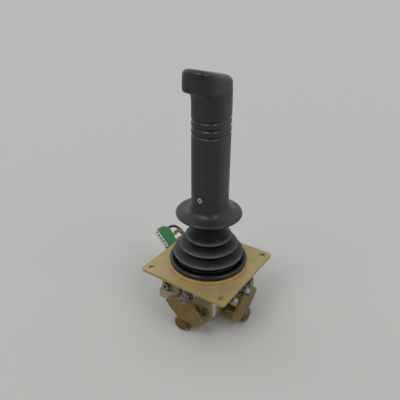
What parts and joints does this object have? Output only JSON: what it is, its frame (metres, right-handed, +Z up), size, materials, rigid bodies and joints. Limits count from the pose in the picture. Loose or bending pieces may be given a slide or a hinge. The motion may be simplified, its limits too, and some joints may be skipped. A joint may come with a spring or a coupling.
{
  "type": "two-axis hand controller",
  "caption": "Hand grip with a lipped head on a stick, rubber bellows over a square mounting plate, and a two-axis gimbal with friction brake levers below.",
  "frame": {"origin": "centre of the mounting plate on its top face", "axes": "+Y forward, towards the lip of the grip; +X the operator's right; +Z up along the upright stick"},
  "size_m": [0.1409, 0.0961, 0.2363],
  "materials": {
    "plate": "yellow chromate over zinc plate, satin",
    "ring": "yellow chromate over zinc plate, satin",
    "bellows": "moulded, semi-gloss",
    "housing": "die-cast, matte",
    "bracket": "pale chromate over zinc plate, satin",
    "screws": "zinc plated",
    "bush": "turned",
    "pot": "moulded, matte",
    "gimbal": "machined",
    "disc": "turned, dulled",
    "steel": "ground",
    "collar": "moulded, matte",
    "grip": "moulded, fine texture, worn smooth",
    "lever": "sawn plate, dulled",
    "board": "solder mask, glossy",
    "header": "moulded, matte",
    "plug": "moulded, matte",
    "wires": "insulation, satin",
    "cable": "sheath, satin"
  },
  "bodies": {
    "base": {"mounting_plate": "plate", "bellows_ring": "ring", "bellows": "bellows", "gimbal_housing": "housing", "front_bracket": "bracket", "left_bracket": "bracket", "rear_bracket": "bracket", "right_bracket": "bracket", "housing_screws": "screws", "plate_screws": "screws", "front_bush": "bush", "left_bush": "bush", "roll_pot": "pot", "pitch_pot": "pot", "pot_nuts": "screws", "front_lever_pivot": "steel", "left_lever_pivot": "steel", "front_lever_pin": "screws", "left_lever_pin": "screws", "front_lever_nut": "screws", "left_lever_nut": "screws", "front_lever_spacer": "bush", "left_lever_spacer": "bush", "front_lever_spring": "steel", "left_lever_spring": "steel", "front_anchor_block": "bracket", "left_anchor_block": "bracket", "front_anchor_screw": "screws", "left_anchor_screw": "screws", "front_anchor_spacer": "bracket", "left_anchor_spacer": "bracket", "connector_board": "board", "board_header": "header", "board_plug": "plug", "board_posts": "pot", "board_screws": "screws", "plug_wires": "wires", "sheathed_cable": "cable", "pitch_pot_wires": "wires"},
    "pitch_gimbal": {"pitch_frame": "gimbal", "pitch_disc_shaft": "disc", "pitch_pot_shaft": "steel", "cross_pin": "steel"},
    "stick": {"stick_hub": "gimbal", "stick_rod": "steel", "bellows_collar": "collar", "grip": "grip", "grip_sleeve": "steel", "grip_set_screw": "screws"},
    "roll_gimbal": {"roll_bail": "gimbal", "roll_disc_shaft": "disc", "roll_pot_shaft": "steel"},
    "front_brake": {"front_lever": "lever"},
    "left_brake": {"left_lever": "lever"}
  },
  "joints": [
    {"name": "pitch", "type": "hinge", "parent": "base", "child": "pitch_gimbal", "pos_m": [0, 0, -0.0445], "axis": [1, 0, 0], "range_deg": [-12, 12], "deforming": ["bellows"]},
    {"name": "roll", "type": "hinge", "parent": "pitch_gimbal", "child": "stick", "pos_m": [0, 0, -0.0445], "axis": [0, 1, 0], "range_deg": [-12, 12]},
    {"name": "roll_follow", "type": "hinge", "parent": "base", "child": "roll_gimbal", "pos_m": [0, 0, -0.0445], "axis": [0, 1, 0], "range_deg": [-12, 12]},
    {"name": "front_brake_lift", "type": "hinge", "parent": "base", "child": "front_brake", "pos_m": [0.011, 0.04375, -0.0239], "axis": [0, 1, 0], "range_deg": [0, 2]},
    {"name": "left_brake_lift", "type": "hinge", "parent": "base", "child": "left_brake", "pos_m": [-0.04375, -0.011, -0.0239], "axis": [1, 0, 0], "range_deg": [0, 2]}
  ],
  "couplings": [
    {"joint": "roll_follow", "follows": "roll", "ratio": 1}
  ]
}
